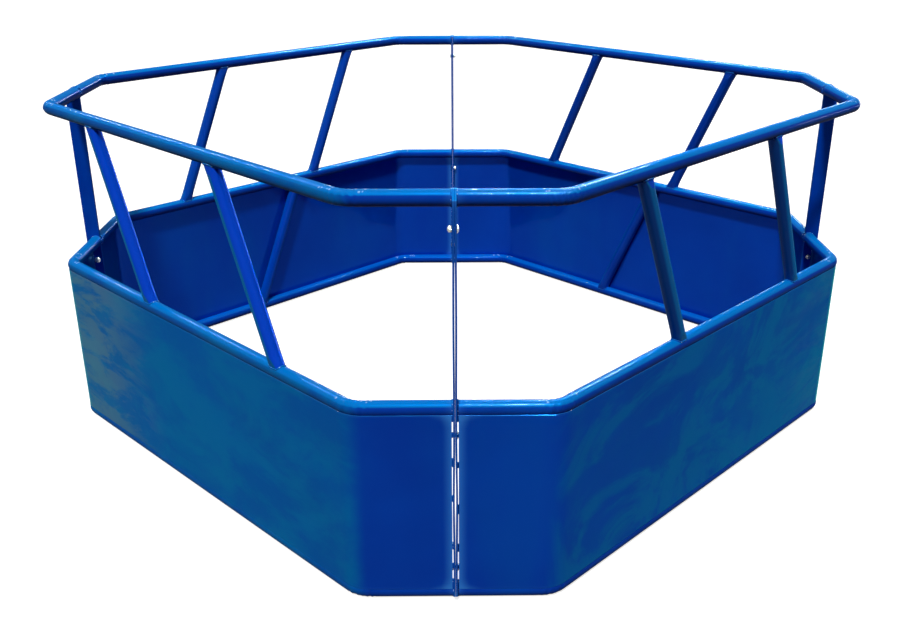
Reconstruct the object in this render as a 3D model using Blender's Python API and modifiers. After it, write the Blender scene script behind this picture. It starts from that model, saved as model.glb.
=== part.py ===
# Skirted bale feeder: four welded tube sections bolted into an octagon.
# Metres, +Z up, origin on the ground in the middle of the feeder.
# Short sides face -X, -Y, +X and +Y. Each section is one long side with half
# a short side at each end, so the seams lie in the middle of the short sides.

import math

import bmesh
import bpy
from mathutils import Matrix, Vector

FIT_GAP = 0.0003  # between pieces that touch or are welded together

# Plan of the centre-lines
HALF_SPAN = 1.220  # centre of the feeder to the middle of a short side
SHORT_SIDE = 0.483
BEND_RADIUS = 0.070
BEND_STEPS = 3

# Round tube
TUBE_DIAMETER = 0.0381
TUBE_WALL = 0.0021
TUBE_SIDES = 12  # an even number
LOWER_PITCH = 0.508  # bottom rail to mid rail
UPPER_PITCH = 0.503  # mid rail to top rail

# Seam plates
PLATE_WIDTH = 0.0450
PLATE_THICKNESS = 0.0048
PLATE_STANDOUT = 0.0135  # past the outer face of the rails
PLATE_OVERHANG = 0.0020  # above the top rail and below the bottom rail
PLATE_FACET = math.radians(22.5)  # its ends are cut round, in line with the rails
PLATE_SHOULDER = 0.0015  # its outer corner, beyond the rail's axis
SEAM_GAP = 0.0003
LOWER_BOW = 0.0014  # how far a plate springs away from its seam between bolts
UPPER_BOW = 0.0006
BOW_STEPS = 6

# Leaning tubes
BAR_LEAN = math.radians(24.2)
BAR_SHIFT = 0.007  # each bar stands this much nearer its side's middle than even spacing puts it
PINCH_LENGTH = 0.034
PINCH_DEPTH = 0.24  # share of the tube's depth squeezed out at its ends
PINCH_SPREAD = 0.10  # share that the squeezed end grows in width

# Skirt
SHEET_THICKNESS = 0.0015
SHEET_SEAT_ANGLE = math.radians(33)  # where its edges lie on the round of a rail
SHEET_END_GAP = 0.0016  # to the sprung plate

# Fasteners
BOLT_DIAMETER = 0.0095
BOLT_CORNERS = 12
BOLT_DROP = 0.068  # bolt below the axis of the mid or top rail
BOLT_RISE = 0.068  # bolt above the axis of the bottom rail
BOLT_TAIL = 0.0020  # thread past the nut
BOLT_CLEARANCE = 0.0006  # between a bolt's head and the inside of the skirt
HEAD_DIAMETER = 0.0206
HEAD_HEIGHT = 0.0051
HEAD_STEPS = 3
HOLE_CLEARANCE = 0.0006
NUT_ACROSS_FLATS = 0.0143
NUT_HEIGHT = 0.0083
NECK_OVERLAP = 0.0010  # how far the square neck runs up into the head

COPE_SIDES = 24

# Everything below follows from the values above
tube_radius = TUBE_DIAMETER / 2
z_bottom = PLATE_OVERHANG + tube_radius
z_mid = z_bottom + LOWER_PITCH
z_top = z_mid + UPPER_PITCH
plate_height = z_top + tube_radius + PLATE_OVERHANG
plate_centre = HALF_SPAN + tube_radius + PLATE_STANDOUT - PLATE_WIDTH / 2
plate_face = SEAM_GAP / 2
plate_back = plate_face + PLATE_THICKNESS
rail_end = plate_back + FIT_GAP
sheet_end = plate_back + LOWER_BOW + SHEET_END_GAP

half_corner = math.radians(22.5)
long_side = math.sqrt(2) * (HALF_SPAN - SHORT_SIDE / 2)
bar_pitch = (long_side + SHORT_SIDE) / 3 - 2 * BAR_SHIFT

sheet_seat = (tube_radius + FIT_GAP) * math.cos(SHEET_SEAT_ANGLE)
sheet_lap = (tube_radius + FIT_GAP) * math.sin(SHEET_SEAT_ANGLE)
brace_inset = sheet_seat - FIT_GAP - tube_radius
bolt_line = HALF_SPAN + sheet_seat - BOLT_CLEARANCE - HEAD_DIAMETER / 2

bolt_heights = {
    "lower": z_bottom + BOLT_RISE,
    "middle": z_mid - BOLT_DROP,
    "upper": z_top - BOLT_DROP,
}
bolt_hole = BOLT_DIAMETER + 2 * HOLE_CLEARANCE
grip = 2 * plate_back

for old in list(bpy.data.objects):
    bpy.data.objects.remove(old, do_unlink=True)

feeder = bpy.data.collections.new("skirted_bale_feeder")
cutters = bpy.data.collections.new("cutters")
bpy.context.scene.collection.children.link(feeder)
bpy.context.scene.collection.children.link(cutters)


def make_material(name, colour, roughness, metallic):
    material = bpy.data.materials.new(name)
    material.use_nodes = True
    shader = material.node_tree.nodes["Principled BSDF"]
    shader.inputs["Base Color"].default_value = (*colour, 1.0)
    shader.inputs["Roughness"].default_value = roughness
    shader.inputs["Metallic"].default_value = metallic
    return material


BLUE = (0.0, 0.075, 0.45)
rail_paint = make_material("rail_paint", BLUE, 0.16, 0.0)
bar_paint = make_material("bar_paint", BLUE, 0.18, 0.0)
plate_paint = make_material("plate_paint", BLUE, 0.22, 0.0)
skirt_paint = make_material("skirt_paint", (0.0, 0.07, 0.36), 0.14, 0.0)
bolt_zinc = make_material("bolt_zinc", (0.62, 0.62, 0.60), 0.34, 1.0)
nut_zinc = make_material("nut_zinc", (0.58, 0.57, 0.53), 0.40, 1.0)


def frame(origin, x_axis, y_axis, z_axis):
    """A placement whose local axes point along the three given directions."""
    turn = Matrix((x_axis, y_axis, z_axis)).transposed().to_4x4()
    return Matrix.Translation(origin) @ turn


def place(name, data, parent, local, collection=feeder):
    piece = bpy.data.objects.new(name, data)
    collection.objects.link(piece)
    piece.parent = parent
    piece.matrix_local = local
    return piece


def place_cutter(name, data, parent, local):
    cutter = place(name, data, parent, local, cutters)
    cutter.hide_render = True
    cutter.display_type = "WIRE"
    return cutter


def boolean(piece, operation, other):
    modifier = piece.modifiers.new(f"{operation.lower()}_{other.name}", "BOOLEAN")
    modifier.operation = operation
    modifier.object = other


def solidify(piece, thickness, offset):
    modifier = piece.modifiers.new("wall", "SOLIDIFY")
    modifier.thickness = thickness
    modifier.offset = offset
    modifier.use_even_offset = True


def finish_mesh(name, shape, material=None, smooth_below=40):
    mesh = bpy.data.meshes.new(name)
    shape.to_mesh(mesh)
    shape.free()
    mesh.shade_smooth()
    mesh.set_sharp_from_angle(angle=math.radians(smooth_below))
    if material:
        mesh.materials.append(material)
    return mesh


def evaluated_mesh(piece, material=None):
    """The finished shape of a piece as one welded mesh; the piece itself goes."""
    bpy.context.view_layer.update()
    source = piece.evaluated_get(bpy.context.evaluated_depsgraph_get())
    mesh = bpy.data.meshes.new_from_object(source)
    bpy.data.objects.remove(piece, do_unlink=True)
    shape = bmesh.new()
    shape.from_mesh(mesh)
    name = mesh.name
    bpy.data.meshes.remove(mesh)
    bmesh.ops.remove_doubles(shape, verts=shape.verts, dist=0.000001)
    return finish_mesh(name, shape, material)


def poly_curve(name, points, dimensions):
    curve = bpy.data.curves.new(name, "CURVE")
    curve.dimensions = dimensions
    spline = curve.splines.new("POLY")
    spline.points.add(len(points) - 1)
    for control, point in zip(spline.points, points):
        control.co = (point[0], point[1], 0.0, 1.0)
    return curve


def bend(before, corner, after, radius):
    """Points of the arc that rounds a corner of a path."""
    into = (corner - before).normalized()
    out = (after - corner).normalized()
    turn = into.angle(out)
    inward = (out - into * math.cos(turn)).normalized()
    centre = corner - into * radius * math.tan(turn / 2) + inward * radius
    angles = [turn * step / BEND_STEPS for step in range(BEND_STEPS + 1)]
    return [centre + radius * (into * math.sin(a) - inward * math.cos(a)) for a in angles]


def section_path(outward, end):
    """The run of one section in plan, moved outward, from seam to seam."""
    reach = HALF_SPAN + outward
    half_side = SHORT_SIDE / 2 + outward * math.tan(half_corner)
    radius = BEND_RADIUS + outward
    first, last = Vector((-reach, -end)), Vector((-end, -reach))
    corner_1, corner_2 = Vector((-reach, -half_side)), Vector((-half_side, -reach))
    bend_1 = bend(first, corner_1, corner_2, radius)
    bend_2 = bend(corner_1, corner_2, last, radius)
    return [first, *bend_1, *bend_2, last]


def box_mesh(name, size):
    shape = bmesh.new()
    bmesh.ops.create_cube(shape, size=1.0)
    bmesh.ops.scale(shape, vec=size, verts=shape.verts)
    return finish_mesh(name, shape)


def rod_mesh(name, radius, length, sides, material=None):
    shape = bmesh.new()
    bmesh.ops.create_cone(
        shape, cap_ends=True, segments=sides, radius1=radius, radius2=radius, depth=length
    )
    return finish_mesh(name, shape, material)


# Rails: one bent tube, open at its ends where the plates close it
rail_curve = poly_curve("rail", section_path(0.0, rail_end), "3D")
rail_curve.bevel_depth = tube_radius
rail_curve.bevel_resolution = (TUBE_SIDES - 4) // 2
rail_curve.materials.append(rail_paint)

# Skirt: a ribbon that follows the rails and rests its edges on them
sheet_curve = poly_curve("skirt", section_path(sheet_seat, sheet_end), "3D")
sheet_curve.extrude = LOWER_PITCH / 2 - sheet_lap
sheet_curve.materials.append(skirt_paint)


def plate_bow(z):
    """How far the plate stands off its seam at this height."""
    spans = (
        (bolt_heights["lower"], bolt_heights["middle"], LOWER_BOW),
        (z_mid + tube_radius, bolt_heights["upper"], UPPER_BOW),
    )
    for low, high, most in spans:
        if low < z < high:
            return most * math.sin(math.pi * (z - low) / (high - low)) ** 2
    return 0.0


def plate_outline():
    """The bar it is cut from, seen along its width: local X leaves the seam, local Y is up."""
    heights = [-PLATE_OVERHANG, plate_height + PLATE_OVERHANG]
    for low, high in (
        (bolt_heights["lower"], bolt_heights["middle"]),
        (z_mid + tube_radius, bolt_heights["upper"]),
    ):
        heights += [low + (high - low) * step / BOW_STEPS for step in range(BOW_STEPS + 1)]
    heights.sort()
    seam_side = [(plate_face + plate_bow(z), z) for z in heights]
    back_side = [(plate_back + plate_bow(z), z) for z in reversed(heights)]
    return back_side + seam_side


def plate_end(axis_height, rise):
    """One end of the plate seen from its seam: local X outward, local Y up."""
    reach = (tube_radius + PLATE_OVERHANG) / math.cos(PLATE_FACET / 2)
    inner_edge, outer_edge = -PLATE_WIDTH / 2, PLATE_WIDTH / 2
    angles = [math.pi / 2 + PLATE_FACET * step for step in (-1.5, -0.5, 0.5, 1.5)]
    crown = [(math.cos(a) * reach + HALF_SPAN - plate_centre, math.sin(a) * reach) for a in angles]
    crown[-1] = (inner_edge, crown[-1][1])
    end = [(outer_edge, PLATE_SHOULDER), *crown]
    return [(x, axis_height + rise * y) for x, y in end]


def prism_mesh(name, points, half_depth):
    curve = poly_curve(name, points, "2D")
    curve.splines[0].use_cyclic_u = True
    curve.fill_mode = "BOTH"
    curve.extrude = half_depth
    return evaluated_mesh(place(name, curve, None, Matrix.Identity(4)))


plate_bar = prism_mesh("plate_bar", plate_outline(), PLATE_WIDTH)
face_points = plate_end(z_top, 1.0) + plate_end(z_bottom, -1.0)[::-1]
plate_trim = prism_mesh("plate_trim", face_points, 2 * plate_back)


def make_plate_mesh(outward_z):
    """A plate whose local Z points outward (1) or inward (-1)."""
    blank = place("plate_blank", plate_bar, None, Matrix.Identity(4))
    across, rise = Vector((0.0, 0.0, outward_z)), Vector((0.0, 1.0, 0.0))
    spot = frame(Vector(), across, rise, across.cross(rise))
    trim = place_cutter("plate_trim", plate_trim, None, spot)
    boolean(blank, "INTERSECT", trim)
    mesh = evaluated_mesh(blank, plate_paint)
    bpy.data.objects.remove(trim, do_unlink=True)
    return mesh


start_plate_mesh = make_plate_mesh(1.0)
end_plate_mesh = make_plate_mesh(-1.0)

square_hole = box_mesh("square_hole", (bolt_hole, bolt_hole, 2 * grip))
round_hole = rod_mesh("round_hole", bolt_hole / 2, 2 * grip, BOLT_CORNERS)


def leaning_tube(name, pitch):
    """An open tube along local Z between two rail axes, squeezed at both ends.

    Local Y is across the rails and local X is along them.
    """
    length = pitch / math.cos(BAR_LEAN)
    seat = tube_radius / math.cos(BAR_LEAN)
    near_end = [0.0, seat + PINCH_LENGTH / 2, seat + PINCH_LENGTH]
    stations = near_end + [length - s for s in reversed(near_end)]
    shape = bmesh.new()
    bmesh.ops.create_circle(shape, segments=TUBE_SIDES, radius=tube_radius)
    edges = list(shape.edges)
    rings = [list(shape.verts)]
    for _ in stations[1:]:
        made = bmesh.ops.extrude_edge_only(shape, edges=edges)["geom"]
        rings.append([v for v in made if isinstance(v, bmesh.types.BMVert)])
        edges = [e for e in made if isinstance(e, bmesh.types.BMEdge)]
    for ring, station in zip(rings, stations):
        away = min(station, length - station) - seat
        t = min(max(away / PINCH_LENGTH, 0.0), 1.0)
        squeeze = 1.0 - t * t * (3.0 - 2.0 * t)
        for vert in ring:
            vert.co.x *= 1.0 + PINCH_SPREAD * squeeze
            vert.co.y *= 1.0 - PINCH_DEPTH * squeeze
            vert.co.z = station - length / 2
    bmesh.ops.recalc_face_normals(shape, faces=shape.faces)
    return finish_mesh(name, shape, bar_paint)


bar_mesh = leaning_tube("bar", UPPER_PITCH)
brace_mesh = leaning_tube("brace", LOWER_PITCH)
cope_rod = rod_mesh("cope_rod", tube_radius + FIT_GAP, long_side, COPE_SIDES)

# Directions of the long side in the front-left section
along = Vector((1.0, -1.0, 0.0)).normalized()
outward = Vector((-1.0, -1.0, 0.0)).normalized()
up = Vector((0.0, 0.0, 1.0))
side_middle = outward * (HALF_SPAN + SHORT_SIDE / 2) / math.sqrt(2)
uphill = up * math.cos(BAR_LEAN) - along * math.sin(BAR_LEAN)


def leaning_frame(run, height, inset):
    origin = side_middle + along * run + outward * inset + up * height
    return frame(origin, outward.cross(uphill), outward, uphill)


def plate_frame(at_start):
    """Local X leaves the seam, local Y is up."""
    away = Vector((0.0, -1.0, 0.0)) if at_start else Vector((-1.0, 0.0, 0.0))
    seam = Vector((-1.0, 0.0, 0.0)) if at_start else Vector((0.0, -1.0, 0.0))
    return frame(seam * plate_centre, away, up, away.cross(up))


def build_section(section, turn):
    root = bpy.data.objects.new(f"{section}_section", None)
    feeder.objects.link(root)
    root.rotation_euler.z = turn

    copes = {}
    for level, height in (("bottom", z_bottom), ("mid", z_mid), ("top", z_top)):
        rail = place(f"{section}_{level}_rail", rail_curve, root, Matrix.Translation(up * height))
        solidify(rail, TUBE_WALL, -1.0)
        cope_frame = frame(side_middle + up * height, outward, up, outward.cross(up))
        copes[level] = place_cutter(f"{section}_{level}_cope", cope_rod, root, cope_frame)

    skirt_height = (z_bottom + z_mid) / 2
    skirt = place(f"{section}_skirt", sheet_curve, root, Matrix.Translation(up * skirt_height))
    solidify(skirt, SHEET_THICKNESS, -1.0)

    bar_height = (z_mid + z_top) / 2
    for number, run in ((1, -bar_pitch / 2), (2, bar_pitch / 2)):
        spot = leaning_frame(run, bar_height, 0.0)
        bar = place(f"{section}_bar_{number}", bar_mesh, root, spot)
        solidify(bar, TUBE_WALL, -1.0)
        boolean(bar, "DIFFERENCE", copes["mid"])
        boolean(bar, "DIFFERENCE", copes["top"])

    spot = leaning_frame(0.0, skirt_height, brace_inset)
    brace = place(f"{section}_brace", brace_mesh, root, spot)
    solidify(brace, TUBE_WALL, -1.0)
    boolean(brace, "DIFFERENCE", copes["bottom"])
    boolean(brace, "DIFFERENCE", copes["mid"])

    for end, plate_mesh, hole, outward_z in (
        ("start", start_plate_mesh, square_hole, 1.0), ("end", end_plate_mesh, round_hole, -1.0),
    ):
        spot = plate_frame(end == "start")
        plate = place(f"{section}_{end}_plate", plate_mesh, root, spot)
        for level, height in bolt_heights.items():
            centre = Matrix.Translation((0.0, height, outward_z * (bolt_line - plate_centre)))
            across = centre @ Matrix.Rotation(math.pi / 2, 4, "Y")
            name = f"{section}_{end}_{level}_hole"
            boolean(plate, "DIFFERENCE", place_cutter(name, hole, root, spot @ across))


# Bolt: domed head and shank turned about local Z, with a square neck under the head
dome_radius = ((HEAD_DIAMETER / 2) ** 2 + HEAD_HEIGHT**2) / (2 * HEAD_HEIGHT)
dome_angle = math.asin(HEAD_DIAMETER / 2 / dome_radius)
shank_length = FIT_GAP + grip + FIT_GAP + NUT_HEIGHT + BOLT_TAIL


def bolt_profile():
    angles = [dome_angle * step / HEAD_STEPS for step in range(HEAD_STEPS + 1)]
    base = HEAD_HEIGHT - dome_radius
    dome = [(dome_radius * math.sin(a), base + dome_radius * math.cos(a)) for a in angles]
    radius = BOLT_DIAMETER / 2
    return [*dome, (radius, 0.0), (radius, -shank_length), (0.0, -shank_length)]


def make_bolt_mesh():
    shape = bmesh.new()
    verts = [shape.verts.new((x, 0.0, z)) for x, z in bolt_profile()]
    for first, second in zip(verts, verts[1:]):
        shape.edges.new((first, second))
    turned = place("bolt_blank", finish_mesh("bolt", shape), None, Matrix.Identity(4))
    screw = turned.modifiers.new("turn", "SCREW")
    screw.steps = screw.render_steps = BOLT_CORNERS
    screw.use_merge_vertices = True
    screw.merge_threshold = 0.00001
    neck_length = PLATE_THICKNESS + NECK_OVERLAP
    neck = box_mesh("neck", (BOLT_DIAMETER, BOLT_DIAMETER, neck_length))
    middle = Matrix.Translation((0.0, 0.0, NECK_OVERLAP - neck_length / 2))
    collar = place_cutter("bolt_neck", neck, None, middle)
    boolean(turned, "UNION", collar)
    mesh = evaluated_mesh(turned, bolt_zinc)
    bpy.data.objects.remove(collar, do_unlink=True)
    return mesh


bolt_mesh = make_bolt_mesh()
corner_radius = NUT_ACROSS_FLATS / 2 / math.cos(math.pi / 6)
nut_mesh = rod_mesh("nut", corner_radius, NUT_HEIGHT, 6, nut_zinc)
bore_radius = BOLT_DIAMETER / 2 + FIT_GAP
nut_bore = rod_mesh("nut_bore", bore_radius, 2 * NUT_HEIGHT, BOLT_CORNERS)


def build_seam(seam, turn):
    """The three bolts of one seam, drawn at the seam that faces -X."""
    root = bpy.data.objects.new(f"{seam}_bolting", None)
    feeder.objects.link(root)
    root.rotation_euler.z = turn
    for level, height in bolt_heights.items():
        origin = Vector((-bolt_line, 0.0, height))
        head_side = Vector((0.0, -1.0, 0.0))
        axes = (Vector((1.0, 0.0, 0.0)), up, head_side)
        under_head = origin + head_side * (plate_back + FIT_GAP)
        place(f"{seam}_bolt_{level}", bolt_mesh, root, frame(under_head, *axes))
        nut_middle = origin - head_side * (plate_back + FIT_GAP + NUT_HEIGHT / 2)
        spot = frame(nut_middle, *axes)
        nut = place(f"{seam}_nut_{level}", nut_mesh, root, spot)
        boolean(nut, "DIFFERENCE", place_cutter(f"{seam}_{level}_bore", nut_bore, root, spot))


sections = ("front_left", "front_right", "back_right", "back_left")
seams = ("seam_left", "seam_front", "seam_right", "seam_back")
for quarter, (section, seam) in enumerate(zip(sections, seams)):
    build_section(section, quarter * math.pi / 2)
    build_seam(seam, quarter * math.pi / 2)

bpy.context.view_layer.update()
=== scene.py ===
# Skirted bale feeder: finished looks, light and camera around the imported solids.
# Metres, +Z up. Each shape is drawn once, in the section between the left and the
# front seam, and turned into the other three quarters with its own small flaws.

import math

import bmesh
import bpy
import numpy as np
from mathutils import Matrix, Vector


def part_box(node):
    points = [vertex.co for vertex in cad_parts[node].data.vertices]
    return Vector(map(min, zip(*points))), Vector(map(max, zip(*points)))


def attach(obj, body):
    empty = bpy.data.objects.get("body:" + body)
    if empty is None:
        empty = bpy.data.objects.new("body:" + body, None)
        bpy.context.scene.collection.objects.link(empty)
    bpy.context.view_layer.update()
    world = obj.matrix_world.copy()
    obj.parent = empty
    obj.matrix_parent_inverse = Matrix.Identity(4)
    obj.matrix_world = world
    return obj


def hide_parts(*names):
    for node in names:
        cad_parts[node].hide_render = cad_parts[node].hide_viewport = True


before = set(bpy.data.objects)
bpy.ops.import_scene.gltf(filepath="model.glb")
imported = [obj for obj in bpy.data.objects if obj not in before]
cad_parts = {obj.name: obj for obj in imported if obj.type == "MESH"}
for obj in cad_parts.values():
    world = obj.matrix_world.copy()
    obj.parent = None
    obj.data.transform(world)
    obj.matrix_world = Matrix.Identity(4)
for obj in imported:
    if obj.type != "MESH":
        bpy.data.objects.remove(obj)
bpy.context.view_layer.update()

SECTIONS = ("front_left", "front_right", "back_right", "back_left")
SEAMS = ("seam_left", "seam_front", "seam_right", "seam_back")
LEVELS = ("bottom", "mid", "top")
BOLTS = ("lower", "middle", "upper")

# Read off the solids
rail_low, rail_high = (np.array(glare_end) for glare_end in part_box("front_left_top_rail"))
plate_low, plate_high = (np.array(glare_end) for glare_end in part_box("front_left_end_plate"))


def middle(node):
    low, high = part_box(node)
    return (np.array(low) + np.array(high)) / 2


tube_radius = (rail_high[2] - rail_low[2]) / 2
half_span = -rail_low[1] - tube_radius
rail_end = -rail_high[0]
rail_height = {level: middle(f"front_left_{level}_rail")[2] for level in LEVELS}
bolt_height = {level: middle(f"seam_left_bolt_{level}")[2] for level in BOLTS}
sheet_end = -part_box("front_left_skirt")[1][0]
plate_outer, plate_inner = -plate_low[1], -plate_high[1]
plate_top = plate_high[2]
bolt_line = -middle("seam_left_bolt_middle")[0]

# The same dimensions as in the solids
SHORT_SIDE = 0.483
BEND_RADIUS = 0.070
PLATE_THICKNESS = 0.0048
PLATE_SHOULDER = 0.0015
SEAM_GAP = 0.0003
LOWER_BOW = 0.0014
UPPER_BOW = 0.0006
BAR_LEAN = math.radians(24.2)
BAR_SHIFT = 0.007
PINCH_LENGTH = 0.034
PINCH_DEPTH = 0.24
PINCH_SPREAD = 0.10
SHEET_THICKNESS = 0.0015
SHEET_SEAT_ANGLE = math.radians(33)
BOLT_DIAMETER = 0.0095
BOLT_TAIL = 0.0020
HEAD_DIAMETER = 0.0206
HEAD_HEIGHT = 0.0051
NUT_ACROSS_FLATS = 0.0143
NUT_HEIGHT = 0.0083
FIT_GAP = 0.0003

# How finely the curved shapes are drawn
TUBE_SIDES = 56
BEAD_SIDES = 10
FASTENER_SIDES = 48
BEND_STEP = 0.0022
STRAIGHT_STEP = 0.030
BEND_MARGIN = 0.035  # a rail is drawn finely this far past the ends of its bends
BEAD_STEP = 0.0007
RING_POINTS = 170
SHEET_ROWS = 30
PLATE_ROWS = 90
CROWN_ROWS = 22

# Hand-made flaws, and painted glints drawn as nicks
BEND_FLAT = 0.0009  # how far the inside of a pressed bend is flattened
BEND_DIMPLE = 0.00045  # how deep the bender's marks are on top of that
BEND_FADE = 0.012  # how far the marks of a bend reach past its ends
GRIP_GLINTS = 7  # pale specks at each end of a bend, where the bender gripped the rail: painted glints, drawn as nicks
GRIP_GLINT_REACH = 0.0030
SHEET_WAVE = 0.0011  # how far a long side of the sheet bellies in or out
BEAD_RADIUS = 0.0019
BEAD_SCALE = 0.0024  # from one ripple of a weld to the next
BEAD_SINK = 0.0006  # how far the middle of a bead is sunk from the surface it runs on
WELD_GLINTS = 260  # pale specks on the welds of one section: painted glints, drawn as nicks
WELD_GLINT_REACH = 0.0018
STITCH_RADIUS = 0.0021

# Stitches that join the sheet's ends to the plates: lower end, upper end.
# At the front seam they leave slits; at the others one weld runs the whole height.
STITCH_WHOLE = (0.030, 0.520)
STITCHES_BEFORE = (
    (0.030, 0.064), (0.094, 0.110), (0.149, 0.171), (0.285, 0.304), (0.381, 0.406),
    (0.461, 0.474), (0.501, 0.520),
)
STITCHES_AFTER = (
    (0.030, 0.061), (0.092, 0.104), (0.142, 0.166), (0.250, 0.278), (0.378, 0.395),
    (0.461, 0.470), (0.501, 0.520),
)

bend_angle = math.radians(45)
bend_tangent = BEND_RADIUS * math.tan(bend_angle / 2)
leg = SHORT_SIDE / 2 - bend_tangent
long_side = math.sqrt(2) * (half_span - SHORT_SIDE / 2)
straight = long_side - 2 * bend_tangent
arc = BEND_RADIUS * bend_angle
run_length = 2 * (leg + arc) + straight
bend_middles = (leg + arc / 2, run_length - leg - arc / 2)
bar_pitch = (long_side + SHORT_SIDE) / 3 - 2 * BAR_SHIFT
sheet_seat = (tube_radius + FIT_GAP) * math.cos(SHEET_SEAT_ANGLE)
sheet_lap = (tube_radius + FIT_GAP) * math.sin(SHEET_SEAT_ANGLE)
sheet_foot = rail_height["bottom"] + sheet_lap
sheet_head = rail_height["mid"] - sheet_lap
plate_face = SEAM_GAP / 2
plate_back = plate_face + PLATE_THICKNESS

UP = np.array((0.0, 0.0, 1.0))
ALONG = np.array((1.0, -1.0, 0.0)) / math.sqrt(2)
OUTWARD = np.array((-1.0, -1.0, 0.0)) / math.sqrt(2)
side_middle = OUTWARD * (half_span + SHORT_SIDE / 2) / math.sqrt(2)
uphill = UP * math.cos(BAR_LEAN) - ALONG * math.sin(BAR_LEAN)


# ---------------------------------------------------------------- materials


class Nodes:
    """Short calls for building one node material."""

    def __init__(self, name):
        self.material = bpy.data.materials.new(name)
        self.material.use_nodes = True
        self.tree = self.material.node_tree
        self.shader = self.tree.nodes["Principled BSDF"]

    def link(self, source, target):
        self.tree.links.new(source, target)

    def make(self, kind, **settings):
        node = self.tree.nodes.new(kind)
        for key, value in settings.items():
            setattr(node, key, value)
        return node

    def place(self, stretch=(1.0, 1.0, 1.0)):
        """Object coordinates, stretched along an axis where asked."""
        where = self.make("ShaderNodeTexCoord")
        mapping = self.make("ShaderNodeMapping")
        mapping.inputs["Scale"].default_value = stretch
        self.link(where.outputs["Object"], mapping.inputs["Vector"])
        return mapping.outputs["Vector"]

    def noise(self, scale, detail=2.0, roughness=0.5, stretch=(1.0, 1.0, 1.0), swirl=0.0):
        node = self.make("ShaderNodeTexNoise")
        node.inputs["Scale"].default_value = scale
        node.inputs["Detail"].default_value = detail
        node.inputs["Roughness"].default_value = roughness
        node.inputs["Distortion"].default_value = swirl
        self.link(self.place(stretch), node.inputs["Vector"])
        return node.outputs["Fac"]

    def spread(self, value, low, high, to_low=0.0, to_high=1.0):
        """A value between low and high, moved to between to_low and to_high."""
        node = self.make("ShaderNodeMapRange", interpolation_type="SMOOTHSTEP")
        for key, number in (
            ("From Min", low), ("From Max", high), ("To Min", to_low), ("To Max", to_high),
        ):
            node.inputs[key].default_value = number
        self.link(value, node.inputs["Value"])
        return node.outputs["Result"]

    def product(self, first, second):
        node = self.make("ShaderNodeMath", operation="MULTIPLY")
        self.link(first, node.inputs[0])
        self.link(second, node.inputs[1])
        return node.outputs["Value"]

    def blend(self, amount, first, second):
        """Mixes two colours, each a fixed colour or another node's output."""
        node = self.make("ShaderNodeMix", data_type="RGBA")
        self.link(amount, node.inputs["Factor"])
        for socket, colour in ((node.inputs[6], first), (node.inputs[7], second)):
            if isinstance(colour, tuple):
                socket.default_value = (*colour, 1.0)
            else:
                self.link(colour, socket)
        return node.outputs[2]

    def relief(self, *layers):
        """Stacked bump from pairs of a height and its depth in metres."""
        normal = None
        for height, depth in layers:
            bump = self.make("ShaderNodeBump")
            bump.inputs["Strength"].default_value = 1.0
            bump.inputs["Distance"].default_value = depth
            self.link(height, bump.inputs["Height"])
            if normal:
                self.link(normal, bump.inputs["Normal"])
            normal = bump.outputs["Normal"]
        self.link(normal, self.shader.inputs["Normal"])

    def edges(self, low, high):
        """1 where the surface turns sharply outward, as on worn edges."""
        node = self.make("ShaderNodeNewGeometry")
        return self.spread(node.outputs["Pointiness"], low, high)

    def along(self, axis, none, full, most=1.0):
        """0 where the surface is at none on an axis, most where it is at full."""
        split = self.make("ShaderNodeSeparateXYZ")
        self.link(self.place(), split.inputs["Vector"])
        return self.spread(split.outputs[axis], none, full, 0.0, most)

    def front_side(self, start, full, most=1.0, depth_start=-0.08):
        """0 to most from start to full along X, on the front half of the feeder only."""
        return self.product(
            self.along("X", start, full, most), self.along("Y", depth_start, FRONT_DEPTH),
        )

    def glint_nicks(self):
        """The pale specks that piece() keeps on the mesh: painted glints, drawn as worn nicks.
        """
        return self.make("ShaderNodeAttribute", attribute_name="glint_nicks").outputs["Fac"]

    def facing_up(self, low, high):
        """0 to 1 by how far the surface faces up: -1 is straight down, 1 straight up."""
        node = self.make("ShaderNodeNewGeometry")
        split = self.make("ShaderNodeSeparateXYZ")
        self.link(node.outputs["Normal"], split.inputs["Vector"])
        return self.spread(split.outputs["Z"], low, high)


BLUE = (0.0, 0.050, 0.420)
DEEP_BLUE = (0.0, 0.039, 0.370)
TEAL_BLUE = (0.0, 0.068, 0.400)
LEFT_REFLECTION_BLUE = (0.0, 0.134, 0.410)  # painted light and reflection: the front left side lighter and greener
RIGHT_REFLECTION_BLUE = (0.0, 0.100, 0.395)  # painted reflection: teal swirls on the front right side
SKY_HIGHLIGHT_BLUE = (0.0, 0.172, 0.570)  # painted highlight: the sky's light and reflection on upward faces
UNDERSIDE_SHADE_BLUE = (0.0, 0.024, 0.230)  # painted shade on undersides
REFLECTED_GROUND_BLUE = (0.0, 0.045, 0.230)  # the front's leaning bars: painted reflection of the ground where they face down,
REFLECTED_HORIZON_BLUE = (0.0, 0.140, 0.420)  # painted reflection of the horizon
REFLECTED_SKY_BLUE = (0.0, 0.058, 0.620)  # and painted reflection of the sky
EDGE_BLUE = (0.030, 0.200, 0.640)  # worn edges
# The film of dust, and the painted glare at the skirt's far ends
DUST_AND_GLARE = (0.230, 0.250, 0.240)
BARE_AND_GLINT = (0.380, 0.640, 0.920)  # pale specks: painted glints, drawn as nicks down to the primer
SKY_WHITE = (0.70, 0.94, 1.0)  # the lamps that only the clear gloss mirrors

# Where the paint of the front sides is its own: past the short front side along X, and
# towards the front along Y
SIDE_START, SIDE_FULL = 0.215, 0.262
FRONT_DEPTH = -0.26
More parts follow.
